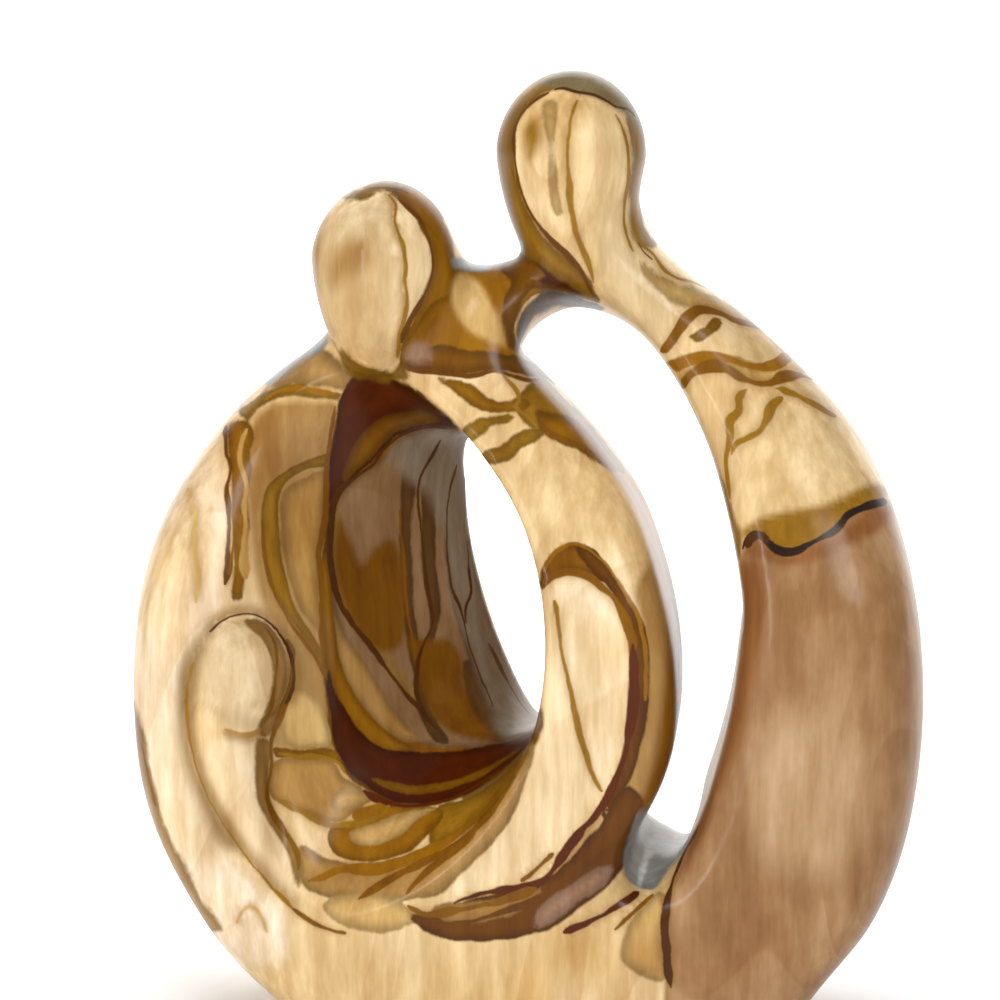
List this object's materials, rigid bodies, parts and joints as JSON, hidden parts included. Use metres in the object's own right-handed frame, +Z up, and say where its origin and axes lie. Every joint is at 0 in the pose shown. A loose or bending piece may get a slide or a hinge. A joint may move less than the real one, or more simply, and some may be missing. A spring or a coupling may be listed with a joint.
{
  "type": "wooden nativity sculpture",
  "caption": "Abstract nativity group carved from one block of olive wood: mother, father and swaddled child with smooth faceless heads in one oval outline, standing on a flat base.",
  "frame": {"origin": "centre of the bounding box at the base plane", "axes": "+Z up, -Y out of the carved front, +X to the right of someone who faces the front"},
  "size_m": [0.1816, 0.056, 0.22],
  "materials": {
    "olive_wood": "satin varnish over a strongly figured grain"
  },
  "bodies": {
    "root": {"holy_family_carving": "olive_wood"}
  },
  "joints": []
}
